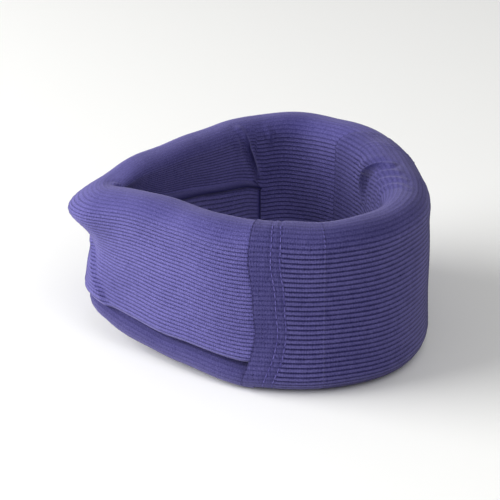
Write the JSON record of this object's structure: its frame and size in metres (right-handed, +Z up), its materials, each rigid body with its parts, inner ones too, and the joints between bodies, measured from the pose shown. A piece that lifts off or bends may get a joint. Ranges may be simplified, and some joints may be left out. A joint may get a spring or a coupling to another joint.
{
  "type": "cervical collar",
  "caption": "Soft foam neck collar in ribbed knit: a closed ring with a pointed chin fold, a nape sleeve, and a thin tab that closes it on one side.",
  "frame": {"origin": "middle of the collar's box, in the plane it rests on", "axes": "+Z up; -Y towards the chin fold, +Y towards the nape; +X towards the side that closes"},
  "size_m": [0.1627, 0.1677, 0.08],
  "materials": {
    "knit": "ribbed cotton knit, matt with a soft sheen",
    "foam": "open-cell polyurethane foam",
    "tape": "woven hook and loop tape",
    "thread": "sewing thread",
    "strip": "flexible polyethylene sheet"
  },
  "bodies": {
    "collar": {"foam_core": "foam", "chin_roll_core": "foam", "stiffening_strip": "strip", "main_cover": "knit", "chin_roll_cover": "knit", "groove_seam": "thread", "sleeve_back": "knit", "hem_seam": "thread", "loop_tape": "tape"},
    "closing_arm": {"arm_foam_core": "foam", "arm_cover": "knit", "sleeve_arm": "knit"},
    "tab": {"closing_tab": "knit", "hook_tape": "tape", "tab_seam": "thread"}
  },
  "joints": [
    {"name": "arm_open", "type": "hinge", "parent": "collar", "child": "closing_arm", "pos_m": [0.00941, 0.08256, 0.04], "axis": [0, 0, 1], "range_deg": [0, 70]},
    {"name": "tab_peel", "type": "hinge", "parent": "closing_arm", "child": "tab", "pos_m": [0.08182, 0.02815, 0.04], "axis": [0, 0, 1], "range_deg": [0, 100]}
  ]
}
